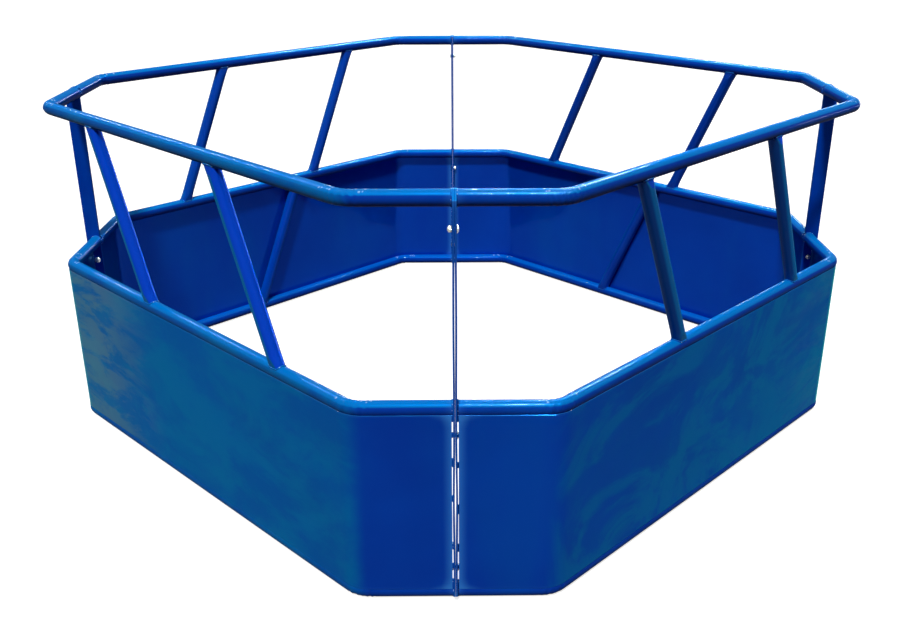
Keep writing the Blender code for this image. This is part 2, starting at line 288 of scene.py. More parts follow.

# How rails, bars, plates and sheet answer light: share of blue-tinted reflection, its
# colour at a glancing angle, colour and strength of the haze, strength and index of the
# clear gloss, and between which upward slopes of the surface the painted sky highlight comes in
RAIL = dict(
    tinted=0.02, edge=(0.0, 0.40, 1.0), haze=(0.0, 0.45, 1.0), haze_weight=0.20,
    gloss=0.060, gloss_ior=1.5, sky_highlight=(0.43, 0.64),
)
BAR = dict(
    tinted=0.14, edge=(0.0, 0.60, 1.0), haze=(0.0, 0.8, 0.8), haze_weight=0.30,
    gloss=0.075, gloss_ior=1.5, sky_highlight=(0.34, 0.60),
)
PLATE = dict(
    tinted=0.10, edge=(0.0, 0.60, 1.0), haze=(0.0, 0.6, 1.0), haze_weight=0.15,
    gloss=0.020, gloss_ior=1.5, sky_highlight=(0.34, 0.60),
)
SHEET = dict(
    tinted=0.30, edge=(0.0, 0.80, 1.0), haze=(0.0, 0.85, 0.50), haze_weight=0.50,
    gloss=0.02, gloss_ior=2.0, sky_highlight=(0.40, 0.85),
)


def powder_coat(
    name, finish, roughness, cloud_scale, cloud_depth, dust, side_reflections=False, reflection_bands=False,
):
    """Glossy blue powder coat with orange peel, soft clouds and a film of dust.

    Every coat has painted shade on its undersides, a painted sky highlight on upward faces
    and painted glints drawn as nicks; all but the bars' have painted light and reflection on
    the front left side. The skirt gets painted reflections on its front sides: teal swirls,
    and glare at the far ends. The bars get painted reflections at the front: ground, horizon
    and sky as three tones.
    """
    nodes = Nodes(name)
    shader = nodes.shader
    clouds = nodes.spread(nodes.noise(cloud_scale, 4.0, 0.55), 0.35, 0.68)
    blues = nodes.blend(clouds, DEEP_BLUE, BLUE)
    streaks = nodes.spread(nodes.noise(3.1, 5.0, 0.6, (1.0, 1.0, 0.35)), 0.48, 0.72, 0.0, 0.5)
    blues = nodes.blend(streaks, blues, TEAL_BLUE)
    # Painted shade: undersides darker, fading out towards level faces
    blues = nodes.blend(nodes.facing_up(-0.85, 0.0), UNDERSIDE_SHADE_BLUE, blues)
    if not reflection_bands:
        # Painted light and reflection on the front left side, in patches
        left_side_light = nodes.front_side(-SIDE_START, -SIDE_FULL)
        left_light_patches = nodes.noise(2.8, 6.0, 0.66, (0.9, 0.9, 1.7), 0.4)
        left_light_patches = nodes.spread(left_light_patches, 0.40, 0.59, 0.50, 1.02)
        blues = nodes.blend(nodes.product(left_side_light, left_light_patches), blues, LEFT_REFLECTION_BLUE)
    # Painted sky highlight on faces that turn up, weaker towards the bottom rails
    sky_highlight = nodes.product(nodes.facing_up(*finish["sky_highlight"]), nodes.along("Z", -0.25, 0.35))
    blues = nodes.blend(sky_highlight, blues, SKY_HIGHLIGHT_BLUE)
    if reflection_bands:
        # Painted reflections on the front's bars: ground, horizon and sky by how far each face
        # turns up
        bands = nodes.blend(nodes.facing_up(-0.28, -0.10), REFLECTED_GROUND_BLUE, REFLECTED_HORIZON_BLUE)
        bands = nodes.blend(nodes.facing_up(0.08, 0.15), bands, REFLECTED_SKY_BLUE)
        blues = nodes.blend(nodes.along("Y", 0.3, -0.1, 0.9), blues, bands)
    blues = nodes.blend(nodes.edges(0.53, 0.62), blues, EDGE_BLUE)
    grit = nodes.spread(nodes.noise(60.0, 5.0, 0.7), 0.50, 0.80, 0.0, dust)
    film = nodes.product(grit, nodes.facing_up(0.2, 0.95))
    blues = nodes.blend(film, blues, DUST_AND_GLARE)
    if side_reflections:
        # Painted reflection on the skirt's front right side: teal swirls
        right_side_reflection = nodes.front_side(SIDE_START, SIDE_FULL)
        right_reflection_swirls = nodes.noise(2.7, 5.0, 0.60, (1.0, 1.0, 1.4), 2.2)
        right_reflection_swirls = nodes.spread(right_reflection_swirls, 0.42, 0.60, 0.0, 0.90)
        blues = nodes.blend(nodes.product(right_side_reflection, right_reflection_swirls), blues, RIGHT_REFLECTION_BLUE)
        end_glare = nodes.noise(4.2, 7.0, 0.68, (0.9, 0.9, 2.8), 0.4)
        end_glare = nodes.spread(end_glare, 0.42, 0.58, 0.07, 0.48)
        # Painted glare at the far ends, in the dust's colour: strong on the left and faint on
        # the right
        for start, full, most in ((-0.84, -1.14, 1.0), (0.95, 1.22, 0.18)):
            glare_end = nodes.front_side(start, full, most, depth_start=-0.02)
            blues = nodes.blend(nodes.product(end_glare, glare_end), blues, DUST_AND_GLARE)
    # Painted glints: pale specks laid in as bare nicks
    blues = nodes.blend(nodes.glint_nicks(), blues, BARE_AND_GLINT)
    nodes.link(blues, shader.inputs["Base Color"])
    sheen = nodes.spread(nodes.noise(18.0, 4.0, 0.6), 0.3, 0.8, roughness, roughness + 0.07)
    nodes.link(sheen, shader.inputs["Roughness"])
    nodes.relief((nodes.noise(7.0, 2.0), cloud_depth), (nodes.noise(420.0, 2.0), 0.000020))
    shader.inputs["Metallic"].default_value = finish["tinted"]
    shader.inputs["Specular IOR Level"].default_value = 0.0
    shader.inputs["Sheen Weight"].default_value = finish["haze_weight"]
    shader.inputs["Sheen Roughness"].default_value = 0.30
    shader.inputs["Sheen Tint"].default_value = (*finish["haze"], 1.0)
    shader.inputs["Specular Tint"].default_value = (*finish["edge"], 1.0)
    shader.inputs["Coat Weight"].default_value = finish["gloss"]
    shader.inputs["Coat IOR"].default_value = finish["gloss_ior"]
    shader.inputs["Coat Roughness"].default_value = 0.04
    return nodes.material


def zinc(name, colour, roughness):
    """Zinc-plated steel, a little mottled and scuffed."""
    nodes = Nodes(name)
    shader = nodes.shader
    dull = tuple(0.62 * part for part in colour)
    mottle = nodes.spread(nodes.noise(240.0, 4.0, 0.6), 0.35, 0.7)
    nodes.link(nodes.blend(mottle, dull, colour), shader.inputs["Base Color"])
    scuff = nodes.spread(nodes.noise(500.0, 3.0), 0.3, 0.7, roughness - 0.08, roughness + 0.12)
    nodes.link(scuff, shader.inputs["Roughness"])
    nodes.relief((nodes.noise(900.0, 3.0), 0.00004))
    shader.inputs["Metallic"].default_value = 1.0
    return nodes.material


rail_coat = powder_coat(
    "rail_coat", RAIL, roughness=0.28, cloud_scale=5.0, cloud_depth=0.0002, dust=0.02,
)
bar_coat = powder_coat(
    "bar_coat", BAR, roughness=0.17, cloud_scale=5.0, cloud_depth=0.0002, dust=0.02, reflection_bands=True,
)
plate_coat = powder_coat(
    "plate_coat", PLATE, roughness=0.20, cloud_scale=9.0, cloud_depth=0.0002, dust=0.02,
)
skirt_coat = powder_coat(
    "skirt_coat", SHEET, roughness=0.12, cloud_scale=2.2, cloud_depth=0.0040, dust=0.05,
    side_reflections=True,
)
weld_coat = powder_coat(
    "weld_coat", RAIL, roughness=0.14, cloud_scale=14.0, cloud_depth=0.0002, dust=0.03,
)
bolt_plating = zinc("bolt_plating", (0.78, 0.78, 0.76), 0.26)
nut_plating = zinc("nut_plating", (0.76, 0.73, 0.64), 0.30)


# ------------------------------------------------------------- mesh helpers


def skin(rings, closed=False, capped=True):
    """Points and faces of a skin over rings of points; its ends are joined, capped or open."""
    count, sides = rings.shape[:2]
    first = np.arange(count if closed else count - 1)[:, None] * sides
    after = (first + sides) % (count * sides)
    here = np.arange(sides)[None, :]
    there = (here + 1) % sides
    corners = (first + here, first + there, after + there, after + here)
    faces = np.stack(corners, axis=-1).reshape(-1, 4).tolist()
    if capped and not closed:
        faces.append(list(range(sides)))
        faces.append(list(range((count - 1) * sides, count * sides)))
    return rings.reshape(-1, 3), faces


def turned(points, quarter):
    """Points of the first section, turned about Z into another quarter."""
    angle = quarter * math.pi / 2
    c, s = round(math.cos(angle)), round(math.sin(angle))
    return points @ np.array(((c, s, 0), (-s, c, 0), (0, 0, 1)), dtype=float)


def glint_nicks_near(points, chance, centres, reach):
    """How much of the pale specks each point takes, from small spots around the centres: painted
    glints, drawn as worn paint.
    """
    bare_and_glint = np.zeros(len(points))
    for centre in centres:
        size = reach * chance.uniform(0.6, 1.2)
        away = np.linalg.norm(points - centre, axis=1)
        bare_and_glint = np.maximum(bare_and_glint, np.clip(1.6 - 1.6 * away / size, 0.0, 1.0))
    return bare_and_glint


def piece(name, skins, material, quarter, nodes=(), sharp=40, glint_nicks=None):
    """One object from one or more skins; it stands for the named solids."""
    shape = bmesh.new()
    for points, faces in skins:
        verts = [shape.verts.new(point) for point in turned(points, quarter)]
        for face in faces:
            shape.faces.new([verts[index] for index in face])
    bmesh.ops.recalc_face_normals(shape, faces=shape.faces)
    mesh = bpy.data.meshes.new(name)
    shape.to_mesh(mesh)
    shape.free()
    if glint_nicks is not None:
        mesh.attributes.new("glint_nicks", "FLOAT", "POINT").data.foreach_set("value", glint_nicks)
    mesh.shade_smooth()
    mesh.set_sharp_from_angle(angle=math.radians(sharp))
    mesh.materials.append(material)
    thing = bpy.data.objects.new(name, mesh)
    bpy.context.scene.collection.objects.link(thing)
    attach(thing, "root")
    if nodes:
        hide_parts(*nodes)


def waves(chance, coordinates, lengths, terms=7):
    """Smooth noise of about one unit over arrays of coordinates."""
    total = 0.0
    for _ in range(terms):
        phase = chance.uniform(0.0, 2 * math.pi)
        for coordinate, length in zip(coordinates, lengths):
            pace = chance.uniform(0.6, 1.7) * chance.choice((-1.0, 1.0))
            phase = phase + 2 * math.pi * coordinate / length * pace
        total = total + np.sin(phase)
    return total / math.sqrt(terms)


def smooth(value):
    """0 below 0, 1 above 1, and an even ease between them."""
    value = np.clip(value, 0.0, 1.0)
    return value * value * (3.0 - 2.0 * value)


# ------------------------------------------------------- the run of a section


def run_stations(end):
    """Distances along a section from seam to seam, close together in its bends."""
    reach = arc / 2 + BEND_MARGIN
    marks = [end]
    for centre in bend_middles:
        marks += [centre - reach, centre + reach]
    marks.append(run_length - end)
    stations = [np.array((end,))]
    for number, (low, high) in enumerate(zip(marks, marks[1:])):
        step = BEND_STEP if number % 2 else STRAIGHT_STEP
        count = max(2, round((high - low) / step))
        stations.append(np.linspace(low, high, count + 1)[1:])
    return np.concatenate(stations)


def run(stations):
    """Where a section's centre-line is at each station, in plan, and its outward side."""
    heading = np.interp(
        stations,
        (leg, leg + arc, run_length - leg - arc, run_length - leg),
        (-2 * bend_angle, -bend_angle, -bend_angle, 0.0),
    )
    normal = np.stack((np.sin(heading), -np.cos(heading), 0 * heading), axis=1)
    centre_1 = np.array((BEND_RADIUS - half_span, -leg, 0.0))
    centre_2 = np.array((-leg, BEND_RADIUS - half_span, 0.0))
    point = np.where(
        (stations < run_length / 2)[:, None],
        centre_1 + BEND_RADIUS * normal,
        centre_2 + BEND_RADIUS * normal,
    )
    before = np.minimum(stations - leg, 0.0)
    beyond = np.maximum(stations - (run_length - leg), 0.0)
    side_run = np.clip(stations - leg - arc, 0.0, straight)
    side_run = np.where(stations < run_length / 2, side_run, side_run - straight)
    point = point + before[:, None] * np.array((0.0, -1.0, 0.0))
    point = point + beyond[:, None] * np.array((1.0, 0.0, 0.0))
    point = point + side_run[:, None] * ALONG
    return point, normal


def bend_share(stations):
    """1 in the middle of a bend, fading out just past its ends."""
    share = 0.0
    for centre in bend_middles:
        share = share + smooth(1.35 - np.abs(stations - centre) / (arc / 2 + BEND_FADE))
    return np.clip(share, 0.0, 1.0)


def rail_skin(height, chance):
    """The tube of a section's rail, flattened and marked where it was pressed round."""
    stations = run_stations(rail_end)
    point, normal = run(stations)
    bend = bend_share(stations)[:, None]
    angle = np.linspace(0.0, 2 * math.pi, TUBE_SIDES, endpoint=False)[None, :]
    inner = np.clip(-np.cos(angle), 0.0, 1.0) ** 2
    along = stations[:, None] + 0 * angle
    marks = waves(chance, (along, 0.25 * np.sin(angle) * tube_radius), (0.016, 0.012))
    radius = tube_radius - bend * (BEND_FLAT * inner + BEND_DIMPLE * (0.7 + marks))
    across = normal[:, None, :] * (radius * np.cos(angle))[:, :, None]
    upward = UP * (radius * np.sin(angle))[:, :, None]
    return skin(point[:, None, :] + across + upward + UP * height)


def bend_glint_nicks(points, height, chance):
    """Pale specks along the top of a rail where the bender gripped it: painted glints, drawn as
    nicks.
    """
    stations = []
    for centre in bend_middles:
        for side in (-1.0, 1.0):
            grip = centre + side * (arc / 2 + BEND_FADE)
            stations += list(grip + chance.uniform(-0.018, 0.018, GRIP_GLINTS))
    spot, normal = run(np.array(stations))
    tilt = chance.uniform(0.9, 2.2, len(stations))[:, None]
    centres = spot + tube_radius * (normal * np.cos(tilt) + UP * np.sin(tilt)) + UP * height
    return glint_nicks_near(points, chance, centres, GRIP_GLINT_REACH)


def sheet_skin(chance):
    """The skirt: both faces and its rounded edges, bellied a little between the rails."""
    stations = run_stations(sheet_end)
    point, normal = run(stations)
    height = np.linspace(0.0, 1.0, SHEET_ROWS)
    rounding = SHEET_THICKNESS * 0.25
    outer_z = sheet_foot + rounding + height * (sheet_head - sheet_foot - 2 * rounding)
    head, foot = (sheet_head, sheet_head), (sheet_foot, sheet_foot)
    loop_z = np.concatenate((outer_z, head, outer_z[::-1], foot))
    face_in = np.full(SHEET_ROWS, sheet_seat)
    face_out = np.full(SHEET_ROWS, sheet_seat + SHEET_THICKNESS)
    lip_out = sheet_seat + SHEET_THICKNESS - rounding
    lip_in = sheet_seat + rounding
    loop_out = np.concatenate((face_out, (lip_out, lip_in), face_in, (lip_in, lip_out)))
    rise = (loop_z - sheet_foot) / (sheet_head - sheet_foot)
    slack = np.sin(math.pi * rise)[None, :] ** 0.8
    held = 1.0 - 0.75 * bend_share(stations)[:, None]
    at_end = smooth(np.minimum(stations, run_length - stations) / 0.10)[:, None]
    on_side = smooth(np.minimum(stations - leg, run_length - leg - stations) / 0.20)[:, None]
    where = (stations[:, None] + 0 * slack, loop_z[None, :] + 0 * held)
    wave = waves(chance, where, (0.55, 0.45))
    belly = SHEET_WAVE * slack * held * at_end * (0.35 + 0.65 * on_side) * wave
    offset = loop_out[None, :] + belly
    upward = UP * loop_z[None, :, None]
    rings = point[:, None, :] + normal[:, None, :] * offset[:, :, None] + upward
    points, faces = skin(rings, capped=False)
    # The two long, thin ends are closed by quads from face to face
    sides = len(loop_z)
    quads = [(i, i + 1, sides - 4 - i, sides - 3 - i) for i in range(SHEET_ROWS - 1)]
    quads.append(tuple(range(SHEET_ROWS - 1, SHEET_ROWS + 3)))
    quads.append((sides - 3, sides - 2, sides - 1, 0))
    for start in (0, len(points) - sides):
        faces.extend(tuple(start + glare_end for glare_end in quad) for quad in quads)
    return points, faces


# -------------------------------------------------------------------- bars


def bar_rings(run_at, low_level, high_level, inset):
    """Rings of a leaning tube whose squeezed ends are cut to the round of the rails."""
    low, high = rail_height[low_level], rail_height[high_level]
    origin = side_middle + ALONG * run_at + OUTWARD * inset + UP * (low + high) / 2
    x_axis = np.cross(OUTWARD, uphill)
    clear_length = (high - low - 2 * tube_radius) / math.cos(BAR_LEAN)
    near = np.linspace(0.0, PINCH_LENGTH * 1.25, 16) / clear_length
    share = np.concatenate((near, np.linspace(near[-1], 1 - near[-1], 8)[1:-1], 1 - near[::-1]))
    angle = np.linspace(0.0, 2 * math.pi, TUBE_SIDES, endpoint=False)
    rings = []
    for t in share:
        away = min(t, 1 - t) * clear_length
        squeeze = 1.0 - min(away / PINCH_LENGTH, 1.0)
        limit = tube_radius * (1.0 - PINCH_DEPTH * squeeze)
        x = tube_radius * np.cos(angle) * (1.0 + PINCH_SPREAD * float(smooth(squeeze)))
        y = tube_radius * np.sin(angle)
        y = np.sign(y) * np.minimum(np.abs(y), limit + 0.10 * np.maximum(np.abs(y) - limit, 0.0))
        seat = np.sqrt(np.maximum((tube_radius + FIT_GAP) ** 2 - (y + inset) ** 2, 0.0))
        lift = x * math.sin(BAR_LEAN)
        foot = (low + seat - origin[2] + lift) / math.cos(BAR_LEAN)
        head = (high - seat - origin[2] + lift) / math.cos(BAR_LEAN)
        z = foot + (head - foot) * t
        rings.append(origin + x[:, None] * x_axis + y[:, None] * OUTWARD + z[:, None] * uphill)
    return np.array(rings)


# -------------------------------------------------------------- weld beads


def bead_skin(path, radius, chance, closed=False):
    """A rippled bead of weld along a path of points."""
    if closed:
        gaps = np.linalg.norm(np.roll(path, -1, axis=0) - path, axis=1)
        ahead = np.roll(path, -1, axis=0) - np.roll(path, 1, axis=0)
    else:
        gaps = np.linalg.norm(np.diff(path, axis=0), axis=1)
        ahead = np.gradient(path, axis=0)
    travel = np.concatenate(((0.0,), np.cumsum(gaps)[: len(path) - 1]))
    ahead = ahead / np.linalg.norm(ahead, axis=1)[:, None]
    helper = UP if abs(ahead[0] @ UP) < 0.7 else OUTWARD
    side = np.cross(ahead, helper)
    side = side / np.linalg.norm(side, axis=1)[:, None]
    lift = np.cross(side, ahead)
    size = radius * (1.0 + 0.10 * np.sin(2 * math.pi * travel / BEAD_SCALE))
    size = size * (1.0 + 0.10 * waves(chance, (travel,), (0.013,)))
    if not closed:
        whole = travel[-1]
        tip = np.minimum(travel, whole - travel) / radius
        size = size * np.sqrt(np.clip(0.12 + tip, 0.0, 1.0))
    angle = np.linspace(0.0, 2 * math.pi, BEAD_SIDES, endpoint=False)
    circle = np.cos(angle)[None, :, None] * side[:, None, :]
    circle = circle + np.sin(angle)[None, :, None] * lift[:, None, :]
    return skin(path[:, None, :] + size[:, None, None] * circle, closed)


def dense(path):
    """The same closed path with points at an even, close spacing."""
    loop = np.vstack((path, path[:1]))
    travel = np.concatenate(((0.0,), np.cumsum(np.linalg.norm(np.diff(loop, axis=0), axis=1))))
    count = max(8, round(travel[-1] / BEAD_STEP))
    where = np.linspace(0.0, travel[-1], count, endpoint=False)
    return np.stack([np.interp(where, travel, loop[:, axis]) for axis in range(3)], axis=1)


def rail_ring(height, station, chance):
    """The weld between a rail's end and its plate."""
    point, normal = run(np.array((station,)))
    angle = np.linspace(0.0, 2 * math.pi, RING_POINTS, endpoint=False)
    reach = tube_radius - BEAD_SINK
    ring = normal[0] * np.cos(angle)[:, None] + UP * np.sin(angle)[:, None]
    return bead_skin(point[0] + UP * height + reach * ring, BEAD_RADIUS, chance, closed=True)


def stitch(low, high, station, chance):
    """A short upright weld between the sheet's end and its plate."""
    point, normal = run(np.array((station,)))
    count = max(8, round((high - low) / BEAD_STEP))
    z = np.linspace(low, high, count)[:, None]
    reach = sheet_seat + SHEET_THICKNESS * 0.4
    return bead_skin(point[0] + normal[0] * reach + UP * z, STITCH_RADIUS, chance)


def section_welds(quarter, bars, chance):
    """All beads of a section as one piece: rails to plates, sheet to plates, bars to rails."""
    skins = []
    at_plate = rail_end + 0.0010
    for level in LEVELS:
        for station in (at_plate, run_length - at_plate):
            skins.append(rail_ring(rail_height[level], station, chance))
    gap_middle = (plate_back + sheet_end) / 2
    for seam, stitches, station in (
        (SEAMS[quarter], STITCHES_AFTER, gap_middle),
        (SEAMS[(quarter + 1) % 4], STITCHES_BEFORE, run_length - gap_middle),
    ):
        for low, high in stitches if seam == "seam_front" else (STITCH_WHOLE,):
            skins.append(stitch(low, high, station, chance))
    for rings in bars:
        for ring, inner in ((rings[0], rings[1]), (rings[-1], rings[-2])):
            centre = ring.mean(axis=0)
            toward = inner.mean(axis=0) - centre
            toward = toward / np.linalg.norm(toward)
            spokes = ring - centre
            flat = spokes - (spokes @ toward)[:, None] * toward
            flat = flat / np.linalg.norm(flat, axis=1)[:, None]
            path = dense(ring + 0.0004 * flat + BEAD_SINK * toward)
            skins.append(bead_skin(path, BEAD_RADIUS, chance, closed=True))
    name = f"{SECTIONS[quarter]}_weld_beads"
    # Painted glints on the welds: pale specks drawn as nicks
    points = np.vstack([points for points, _ in skins])
    centres = points[chance.integers(0, len(points), WELD_GLINTS)]
    glint_nicks = glint_nicks_near(points, chance, centres, WELD_GLINT_REACH)
    piece(name, skins, weld_coat, quarter, sharp=80, glint_nicks=glint_nicks)


# ------------------------------------------------------------------- plates


def plate_edges(z, trim):
    """Inner and outer edge of the plate at each height; its ends are cut round."""
    reach = plate_top - rail_height["top"] - trim
    beyond = np.maximum(z - rail_height["top"], rail_height["bottom"] - z)
    crown = np.sqrt(np.maximum(reach**2 - np.clip(beyond, 0.0, reach) ** 2, 0.0))
    outer = np.full(len(z), plate_outer - trim)
    slope_start = np.array((plate_outer - half_span, PLATE_SHOULDER))
    touch = math.radians(58)
    slope_end = reach * np.array((math.cos(touch), math.sin(touch)))
    from_to = (slope_start[0] - trim, slope_end[0])
    slope = np.interp(beyond, (slope_start[1], slope_end[1]), from_to)
    outer = np.where(beyond > slope_start[1], half_span + slope, outer)
    outer = np.where(beyond > slope_end[1], half_span + crown, outer)
    inner = np.maximum(plate_inner + trim, np.where(beyond > 0.0, half_span - crown, 0.0))
    return inner, outer


def plate_skin(at_start, sprung):
    """A flat bar with eased edges, sprung away from its seam between the bolts."""
    spans = (
        (bolt_height["lower"], bolt_height["middle"], LOWER_BOW),
        (rail_height["mid"] + tube_radius, bolt_height["upper"], UPPER_BOW),
    )
    low, high = rail_height["bottom"] - PLATE_SHOULDER, rail_height["top"] + PLATE_SHOULDER
    rise = (plate_top - high) * np.sin(np.linspace(0.0, math.pi / 2, CROWN_ROWS)[1:])
    rise[-1] -= 0.00002  # stays just inside the solids' box
    z = np.concatenate((low - rise[::-1], np.linspace(low, high, PLATE_ROWS), high + rise))
    bow = 0.0 * z
    for start, end, most in spans:
        share = np.clip((z - start) / (end - start), 0.0, 1.0)
        bow = bow + sprung * most * np.sin(math.pi * share) ** 2
    ease = 0.0006
    inner, outer = plate_edges(z, 0.0)
    inner_eased, outer_eased = plate_edges(z, ease)
    # The cut ends close to a short edge, not to a point
    outer_eased = np.maximum(outer_eased, half_span + 0.0008)
    inner_eased = np.minimum(inner_eased, half_span - 0.0008)
    outer, inner = np.maximum(outer, half_span + 0.0012), np.minimum(inner, half_span - 0.0012)
    face, back = plate_face + bow, plate_back + bow
    # Points on the flats keep the worn look of the edges off them
    flat_start = inner_eased + 0.10 * (outer_eased - inner_eased)
    flat_end = outer_eased - 0.10 * (outer_eased - inner_eased)
    loop = (
        (face + ease, inner), (back - ease, inner), (back, inner_eased), (back, flat_start),
        (back, flat_end), (back, outer_eased), (back - ease, outer), (face + ease, outer),
        (face, outer_eased), (face, flat_end), (face, flat_start), (face, inner_eased),
    )
    away = np.stack([pair[0] for pair in loop], axis=1)
    across = np.stack([pair[1] for pair in loop], axis=1)
    plan = (-across, -away) if at_start else (-away, -across)
    return skin(np.stack((*plan, np.repeat(z[:, None], len(loop), axis=1)), axis=2))


# --------------------------------------------------------------- fasteners


def lathe(profile, axes):
    """A profile of (height along the axis, radius) turned on an axis."""
    origin, axis, first, second = axes
    angle = np.linspace(0.0, 2 * math.pi, FASTENER_SIDES, endpoint=False)
    circle = np.cos(angle)[:, None] * first + np.sin(angle)[:, None] * second
    rings = [origin + axis * height + circle * radius for height, radius in profile]
    return skin(np.array(rings))


def bolt_skin(axes):
    """Domed head, shank and thread, drawn from the head's top to the thread's end."""
    dome_radius = ((HEAD_DIAMETER / 2) ** 2 + HEAD_HEIGHT**2) / (2 * HEAD_HEIGHT)
    dome_angle = math.asin(HEAD_DIAMETER / 2 / dome_radius)
    sweep = np.linspace(0.03, 0.97, 12) * dome_angle
    base = HEAD_HEIGHT - dome_radius
    profile = [(base + dome_radius * math.cos(a), dome_radius * math.sin(a)) for a in sweep]
    rim = HEAD_DIAMETER / 2
    profile += [(0.0006, rim), (0.0002, rim - 0.0001), (0.0, rim - 0.0006)]
    radius = BOLT_DIAMETER / 2
    grip = 2 * plate_back + FIT_GAP
    end = grip + FIT_GAP + NUT_HEIGHT + BOLT_TAIL
    profile += [(0.0, radius), (-grip, radius)]
    pitch = 0.0016
    threads = int((end - grip - 0.0008) / pitch)
    for turn in range(threads):
        start = grip + turn * pitch
        profile += [(-start - pitch * 0.5, radius - 0.0008), (-start - pitch, radius)]
    profile += [(-end + 0.0006, radius - 0.0003), (-end, radius - 0.0011)]
    return lathe(profile, axes)


def nut_skin(axes):
    """Hexagon with chamfered corners and a bore."""
    origin, axis, first, second = axes
    angle = np.linspace(0.0, 2 * math.pi, FASTENER_SIDES, endpoint=False)
    sector = np.mod(angle + math.pi / 6, math.pi / 3) - math.pi / 6
    hexagon = NUT_ACROSS_FLATS / 2 / np.cos(sector)
    half, bore = NUT_HEIGHT / 2, BOLT_DIAMETER / 2 + FIT_GAP
    chamfer = NUT_ACROSS_FLATS / 2
    loop = (
        (-half, 0 * angle + chamfer - 0.0002),
        (-half + 0.0008, np.minimum(hexagon, chamfer + 0.0007)),
        (-half + 0.0014, hexagon),
        (half - 0.0014, hexagon),
        (half - 0.0008, np.minimum(hexagon, chamfer + 0.0007)),
        (half, 0 * angle + chamfer - 0.0002),
        (half, 0 * angle + bore + 0.0006),
        (half - 0.0006, 0 * angle + bore),
        (-half + 0.0006, 0 * angle + bore),
        (-half, 0 * angle + bore + 0.0006),
    )
    circle = np.cos(angle)[:, None] * first + np.sin(angle)[:, None] * second
    rings = [origin + axis * height + circle * radius[:, None] for height, radius in loop]
    return skin(np.array(rings), closed=True)


def seam_fasteners(quarter):
    """Bolt heads stand on the -Y side of the left seam, nuts on its +Y side."""
    seam = SEAMS[quarter]
    head_side = np.array((0.0, -1.0, 0.0))
    for index, level in enumerate(BOLTS):
        origin = np.array((-bolt_line, 0.0, bolt_height[level]))
        twist = math.radians(11 + 23 * index + 17 * quarter)
        first = np.array((math.cos(twist), 0.0, math.sin(twist)))
        second = np.cross(head_side, first)
        head = (origin + head_side * (plate_back + FIT_GAP), head_side, first, second)
        nut_middle = origin - head_side * (plate_back + FIT_GAP + NUT_HEIGHT / 2)
        nut = (nut_middle, head_side, first, second)
        node = f"{seam}_bolt_{level}"
        piece(f"{node}_plated", [bolt_skin(head)], bolt_plating, quarter, [node])
        node = f"{seam}_nut_{level}"
        piece(f"{node}_plated", [nut_skin(nut)], nut_plating, quarter, [node], 25)


# --------------------------------------------------------------- the object

brace_inset = sheet_seat - FIT_GAP - tube_radius

for quarter, section in enumerate(SECTIONS):
    chance = np.random.default_rng(40 + quarter)
    for level in LEVELS:
        node = f"{section}_{level}_rail"
        skins = [rail_skin(rail_height[level], chance)]
        # Painted glints at the bends, drawn as nicks
        glint_nicks = bend_glint_nicks(skins[0][0], rail_height[level], chance)
        piece(f"{node}_painted", skins, rail_coat, quarter, [node], glint_nicks=glint_nicks)
    node = f"{section}_skirt"
    piece(f"{node}_painted", [sheet_skin(chance)], skirt_coat, quarter, [node])
    for end in ("start", "end"):
        node = f"{section}_{end}_plate"
        seam = SEAMS[(quarter + (end == "end")) % 4]
        skins = [plate_skin(end == "start", 0.0 if seam == "seam_back" else 1.0)]
        piece(f"{node}_painted", skins, plate_coat, quarter, [node], 30)
    bars = {
        "bar_1": bar_rings(-bar_pitch / 2, "mid", "top", 0.0),
        "bar_2": bar_rings(bar_pitch / 2, "mid", "top", 0.0),
        "brace": bar_rings(0.0, "bottom", "mid", brace_inset),
    }
    for part, rings in bars.items():
        node = f"{section}_{part}"
        piece(f"{node}_painted", [skin(rings)], bar_coat, quarter, [node], 35)
    section_welds(quarter, bars.values(), chance)
    seam_fasteners(quarter)


# ------------------------------------------------------- floor, light, camera

FLOOR_SEEN = (0.50, 0.50, 0.50, 1.0)  # the floor's colour to the camera; it keeps the shadow
FLOOR_BOUNCE = (0.05, 0.05, 0.05, 1.0)  # and its colour to the light that it sends back
FLOOR_GLOW = 0.80
WORLD_FILL = 0.05
WHITE = (1.0, 1.0, 1.0, 1.0)


def background_share(tree):
    """Two shares: 1 for rays that see the background, from the camera, in gloss or
    through glass, and 1 for rays from the camera alone.
    """
    path = tree.nodes.new("ShaderNodeLightPath")
    total = path.outputs["Is Camera Ray"]
    for ray in ("Is Glossy Ray", "Is Transmission Ray"):
        node = tree.nodes.new("ShaderNodeMath")
        node.operation = "MAXIMUM"
        tree.links.new(total, node.inputs[0])
        tree.links.new(path.outputs[ray], node.inputs[1])
        total = node.outputs["Value"]
    return total, path.outputs["Is Camera Ray"]


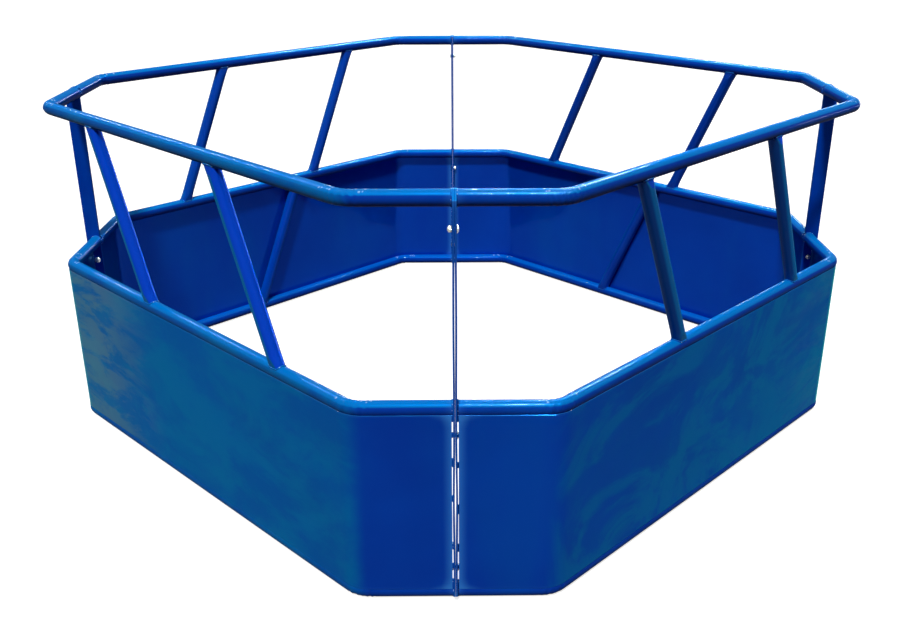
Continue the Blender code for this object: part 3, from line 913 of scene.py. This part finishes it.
def make_floor():
    mesh = bpy.data.meshes.new("floor")
    shape = bmesh.new()
    bmesh.ops.create_grid(shape, x_segments=8, y_segments=8, size=30.0)
    shape.to_mesh(mesh)
    shape.free()
    material = bpy.data.materials.new("pale_floor")
    material.use_nodes = True
    tree = material.node_tree
    shader = tree.nodes["Principled BSDF"]
    shader.inputs["Roughness"].default_value = 0.9
    shader.inputs["Specular IOR Level"].default_value = 0.0
    seen, by_camera = background_share(tree)
    tint = tree.nodes.new("ShaderNodeMix")
    tint.data_type = "RGBA"
    tint.inputs[6].default_value = FLOOR_BOUNCE
    tint.inputs[7].default_value = FLOOR_SEEN
    tree.links.new(by_camera, tint.inputs["Factor"])
    tree.links.new(tint.outputs[2], shader.inputs["Base Color"])
    lit = tree.nodes.new("ShaderNodeMath")
    lit.operation = "MULTIPLY"
    lit.inputs[1].default_value = FLOOR_GLOW
    tree.links.new(seen, lit.inputs[0])
    shader.inputs["Emission Color"].default_value = WHITE
    tree.links.new(lit.outputs["Value"], shader.inputs["Emission Strength"])
    mesh.materials.append(material)
    floor = bpy.data.objects.new("floor", mesh)
    bpy.context.scene.collection.objects.link(floor)


def make_world():
    world = bpy.data.worlds.new("studio")
    bpy.context.scene.world = world
    world.use_nodes = True
    tree = world.node_tree
    background = tree.nodes["Background"]
    background.inputs["Color"].default_value = WHITE
    seen, _ = background_share(tree)
    strength = tree.nodes.new("ShaderNodeMapRange")
    strength.inputs["To Min"].default_value = WORLD_FILL
    strength.inputs["To Max"].default_value = 1.0
    tree.links.new(seen, strength.inputs["Value"])
    tree.links.new(strength.outputs["Result"], background.inputs["Strength"])


def make_light(name, kind, place, aim, energy, size, diffuse=True, gloss=True):
    """An area lamp or a sun; without diffuse light it shows only in the gloss."""
    data = bpy.data.lights.new(name, kind)
    data.energy = energy
    if kind == "AREA":
        data.shape = "RECTANGLE"
        data.size, data.size_y = size
    else:
        data.angle = size
    lamp = bpy.data.objects.new(name, data)
    bpy.context.scene.collection.objects.link(lamp)
    lamp.location = place
    lamp.rotation_euler = (Vector(aim) - Vector(place)).to_track_quat("-Z", "Y").to_euler()
    lamp.visible_camera = False
    if not diffuse:
        data.color = SKY_WHITE
    lamp.visible_diffuse = diffuse
    lamp.visible_glossy = gloss


def make_camera():
    """The photograph's viewpoint, found from the corners, seams and bars."""
    place = Vector((-0.00551, -3.27463, 1.63115))
    yaw, pitch, roll = 0.00876, 0.38927, -0.00164
    ahead = Vector((
        math.sin(yaw) * math.cos(pitch), math.cos(yaw) * math.cos(pitch), -math.sin(pitch),
    ))
    level = Vector((math.cos(yaw), -math.sin(yaw), 0.0))
    upright = level.cross(ahead)
    right = level * math.cos(roll) + upright * math.sin(roll)
    top = upright * math.cos(roll) - level * math.sin(roll)
    data = bpy.data.cameras.new("camera")
    data.sensor_width = 36.0
    data.lens = 40.1907
    data.shift_x = -0.01148
    data.shift_y = -0.01893
    data.clip_end = 200.0
    camera = bpy.data.objects.new("camera", data)
    bpy.context.scene.collection.objects.link(camera)
    facing = Matrix((right, top, -ahead)).transposed().to_4x4()
    camera.matrix_world = Matrix.Translation(place) @ facing
    bpy.context.scene.camera = camera


make_floor()
make_world()
make_light("overhead", "AREA", (0.0, 0.3, 4.2), (0.0, 0.3, 0.0), 52.0, (5.0, 4.6))
make_light(
    "key", "SUN", (-0.7, -3.6, 5.8), (0.0, 0.0, 0.4), 2.75, math.radians(6.0), gloss=False,
)
front_rail = (1.35, -1.22, 0.8)
left_rail = (-0.6, -0.9, 0.7)
for name, place, aim, energy, size in (
    ("strip_front", (1.35, -3.47, 6.36), front_rail, 2500.0, (2.5, 0.6)),
    ("strip_back", (1.35, 2.9, 4.1), front_rail, 1320.0, (2.5, 0.6)),
    ("horizon", (8.9, 8.0, 0.9), (0.0, 0.0, 0.9), 1100.0, (13.0, 0.6)),
    ("strip_left", (-3.2, 2.6, 4.5), left_rail, 470.0, (0.3, 3.4)),
    ("strip_far", (1.6, 8.5, 2.4), (-1.2, 0.0, 1.0), 980.0, (6.0, 0.6)),
):
    make_light(name, "AREA", place, aim, energy, size, diffuse=False)
make_camera()
bpy.context.scene.view_settings.view_transform = "Standard"
